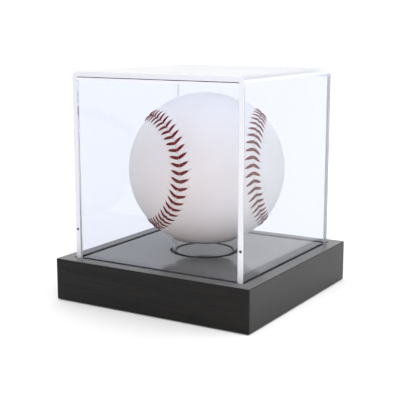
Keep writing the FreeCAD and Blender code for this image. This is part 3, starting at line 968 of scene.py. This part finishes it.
class CASE_OT_cover(bpy.types.Operator):
    """Bend the cover's sheet and set its two end panels"""

    bl_idname = "display_case.cover"
    bl_label = "Clear cover"

    def execute(self, context):
        settings = context.scene.case_cover
        tint = tuple(settings.acrylic_colour)
        clear = clear_acrylic("cast_acrylic_sheet", tint)
        edge = sawn_acrylic(tuple(settings.edge_colour))
        # Painted highlight: the bends and the window strips carry a whitish layer that glows faintly.
        bend = clear_acrylic("bent_acrylic", tint, rough=0.02, painted_glow_share=0.55)
        # Painted tint: the top is a bluer, darker copy of the same acrylic, with weaker reflections.
        top = clear_acrylic("cast_acrylic_top", tuple(settings.painted_top_colour), gloss=0.05)
        cement = dried_cement()
        bend_sheet(settings, [clear, edge, bend, top])
        for name, node in (("front_window", "cover_front_panel"), ("back_window", "cover_back_panel")):
            set_window(settings, [clear, edge, bend, cement], name, node)
        trap_bubbles(settings, cement)
        return {"FINISHED"}


# ---------------------------------------------------------------- the ball


class CASE_OT_ball_inside(bpy.types.Operator):
    """Finish the windings, rubbers and cork inside the ball"""

    bl_idname = "display_case.ball_inside"
    bl_label = "Inside of the ball"

    def execute(self, context):
        grey_wool = wound_yarn("grey_wool_yarn", linear("#8B8985"), 1.2 * MM)
        repaint("finish_winding", wound_yarn("cotton_finish_yarn", linear("#EFEDE4"), 0.6 * MM))
        repaint("third_wool_winding", grey_wool)
        repaint("second_wool_winding", wound_yarn("white_wool_yarn", linear("#E4DFD2"), 1.0 * MM))
        repaint("first_wool_winding", grey_wool)
        repaint("outer_rubber_shell", moulded_rubber("red_pill_rubber", linear("#8E2A22")))
        repaint("inner_rubber_shell", moulded_rubber("black_pill_rubber", linear("#1C1B1B")))
        repaint("cork_core", pressed_cork())
        return {"FINISHED"}


class CASE_OT_ball_leather(bpy.types.Operator):
    """Cut, raise and crease the two leather pieces of the ball"""

    bl_idname = "display_case.ball_leather"
    bl_label = "Ball leather"

    def execute(self, context):
        settings = context.scene.case_ball
        seam = Seam(settings)
        leather = ball_leather(settings)
        sphere = leather_sphere(seam)
        pieces = (("leather_lower", "leather_panel_a", 1), ("leather_upper", "leather_panel_b", -1))
        for name, node, side in pieces:
            bm = leather_panel(sphere, seam, settings, side)
            bmesh.ops.transform(bm, matrix=ball_matrix(settings), verts=bm.verts)
            piece(name, bm, [leather], "ball", [node])
        sphere.free()
        return {"FINISHED"}


class CASE_OT_seam_thread(bpy.types.Operator):
    """Sew the seam with its red V stitches"""

    bl_idname = "display_case.seam_thread"
    bl_label = "Seam thread"

    def execute(self, context):
        settings = context.scene.case_ball
        seam = Seam(settings)
        one = stitch_shape(settings, seam.pitch, seam.radius)
        pattern = bpy.data.meshes.new("stitch_pattern")
        one.to_mesh(pattern)
        one.free()
        bm = shape()
        for stitch in range(settings.stitches):
            index = stitch * Seam.PER_STITCH
            for side in (1, -1):
                axes = (seam.across[index] * side, seam.along[index], seam.outward[index])
                turn = Matrix(axes).transposed().to_4x4()
                verts_before, faces_before = len(bm.verts), len(bm.faces)
                bm.from_mesh(pattern)
                bm.verts.ensure_lookup_table()
                bm.faces.ensure_lookup_table()
                bmesh.ops.transform(bm, matrix=turn, verts=bm.verts[verts_before:])
                if side < 0:  # a mirrored stitch is inside out
                    bmesh.ops.reverse_faces(bm, faces=bm.faces[faces_before:])
        bmesh.ops.transform(bm, matrix=ball_matrix(settings), verts=bm.verts)
        bpy.data.meshes.remove(pattern)
        piece("red_stitches", bm, [waxed_thread(settings)], "ball", ["seam_thread"])
        return {"FINISHED"}


# ---------------------------------------------------------------- the stage


def set_camera(scene, settings):
    """Aims the camera at the case."""
    data = bpy.data.cameras.new("camera")
    data.lens = settings.lens
    data.sensor_width = 36
    data.clip_start, data.clip_end = 0.01, 20
    camera = bpy.data.objects.new("camera", data)
    scene.collection.objects.link(camera)
    away = Vector(settings.camera_place) - Vector(settings.camera_target)
    camera.location = settings.camera_place
    camera.rotation_euler = away.to_track_quat("Z", "Y").to_euler()
    scene.camera = camera


def lay_table(scene, settings):
    """Lays a wide matt white table on z = 0."""
    bm = shape()
    bmesh.ops.create_grid(bm, x_segments=2, y_segments=2, size=3.0)
    mesh = bpy.data.meshes.new("table")
    bm.to_mesh(mesh)
    bm.free()
    material = new_material("matt_white_table")
    paint = {
        "Base Color": tuple(settings.floor_colour),
        "Roughness": 0.9,
        "Emission Color": grey(1),
        "Emission Strength": 0.1,
    }
    paint = add(material, "ShaderNodeBsdfPrincipled", paint)
    add(material, "ShaderNodeOutputMaterial", {"Surface": paint})
    mesh.materials.append(material)
    table = bpy.data.objects.new("table", mesh)
    scene.collection.objects.link(table)


def hang_lamp(scene, data, power, tint, where, target):
    """Hangs a lamp that looks at a target."""
    data.energy = power
    data.color = linear(tint)[:3]
    lamp = bpy.data.objects.new(data.name, data)
    scene.collection.objects.link(lamp)
    lamp.location = where
    lamp.rotation_euler = (Vector(where) - Vector(target)).to_track_quat("Z", "Y").to_euler()


def light_tent(scene):
    """A soft white tent all round, dim on the side that the camera looks from and strongest overhead."""
    world = bpy.data.worlds.new("soft_tent")
    scene.world = world
    world.use_nodes = True
    world.node_tree.nodes.clear()
    where = add(world, "ShaderNodeTexCoord", out="Generated")
    bright_side = Vector((-0.02, 0.75, 0.65)).normalized()
    facing = add(world, "ShaderNodeVectorMath", {0: where, 1: bright_side}, out="Value", operation="DOT_PRODUCT")
    spread = {"Value": facing, "From Min": -0.75, "From Max": 0.22}
    spread = add(world, "ShaderNodeMapRange", spread, interpolation_type="SMOOTHSTEP")
    colours = {"Factor": spread, 6: linear("#43464E"), 7: grey(1.06)}
    colours = add(world, "ShaderNodeMix", colours, out=2, data_type="RGBA")
    height = add(world, "ShaderNodeSeparateXYZ", {"Vector": where}, out="Z")
    overhead = {"Value": height, "From Min": 0.45, "From Max": 1.0, "To Min": 1.0, "To Max": 2.1}
    overhead = add(world, "ShaderNodeMapRange", overhead, interpolation_type="SMOOTHSTEP")
    light = add(world, "ShaderNodeBackground", {"Color": colours, "Strength": overhead})
    add(world, "ShaderNodeOutputWorld", {"Surface": light})


class CASE_OT_stage(bpy.types.Operator):
    """Set up the camera, the table and the soft light"""

    bl_idname = "display_case.stage"
    bl_label = "Camera, table and light"

    def execute(self, context):
        scene = context.scene
        settings = scene.case_stage
        set_camera(scene, settings)
        lay_table(scene, settings)
        light_tent(scene)
        spot = bpy.data.lights.new("table_spot", "SPOT")
        spot.spot_size, spot.spot_blend, spot.shadow_soft_size = math.radians(24), 0.8, 0.05
        place = Vector(settings.spot_place)
        hang_lamp(scene, spot, settings.spot_power, "#FFFFFF", place, (place.x, place.y, 0))
        fill = bpy.data.lights.new("low_fill", "AREA")
        fill.shape, fill.size, fill.size_y = "RECTANGLE", 0.5, 0.04
        hang_lamp(scene, fill, settings.fill_power, "#FFDCC6", settings.fill_place, BALL_CENTRE)
        scene.view_settings.view_transform = "Standard"
        return {"FINISHED"}


# ---------------------------------------------------------------- panel and registration


class CASE_PT_panel(bpy.types.Panel):
    """The sizes, colours and steps of the display case"""

    bl_label = "Display case"
    bl_idname = "CASE_PT_panel"
    bl_space_type = "VIEW_3D"
    bl_region_type = "UI"
    bl_category = "Display case"

    def draw(self, context):
        scene = context.scene
        for name in GROUPS:
            settings = getattr(scene, name)
            box = self.layout.box()
            for entry in settings.bl_rna.properties:
                if not entry.is_readonly and entry.identifier != "name":
                    box.prop(settings, entry.identifier)
        for operator in STEPS:
            self.layout.operator(operator.bl_idname)


GROUPS = {
    "case_base": CaseBaseProperties,
    "case_cover": CaseCoverProperties,
    "case_ball": CaseBallProperties,
    "case_stage": CaseStageProperties,
}
STEPS = (
    CASE_OT_wood_base,
    CASE_OT_floor_plate,
    CASE_OT_plate_tape,
    CASE_OT_foot_pads,
    CASE_OT_ring_stand,
    CASE_OT_cover,
    CASE_OT_ball_inside,
    CASE_OT_ball_leather,
    CASE_OT_seam_thread,
    CASE_OT_stage,
)


def register():
    """Adds the settings, steps and panel."""
    for name, group in GROUPS.items():
        bpy.utils.register_class(group)
        setattr(bpy.types.Scene, name, PointerProperty(type=group))
    for operator in STEPS:
        bpy.utils.register_class(operator)
    bpy.utils.register_class(CASE_PT_panel)


def unregister():
    """Takes them away again."""
    bpy.utils.unregister_class(CASE_PT_panel)
    for operator in reversed(STEPS):
        bpy.utils.unregister_class(operator)
    for name, group in reversed(GROUPS.items()):
        delattr(bpy.types.Scene, name)
        bpy.utils.unregister_class(group)


def corners(bounds):
    """Two corners as plain lists of numbers."""
    return [[float(value) for value in corner] for corner in bounds]


def main():
    """Builds everything."""
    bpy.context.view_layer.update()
    register()
    for operator in STEPS:
        getattr(bpy.ops.display_case, operator.bl_idname.split(".")[1])()


if __name__ == "__main__":
    main()
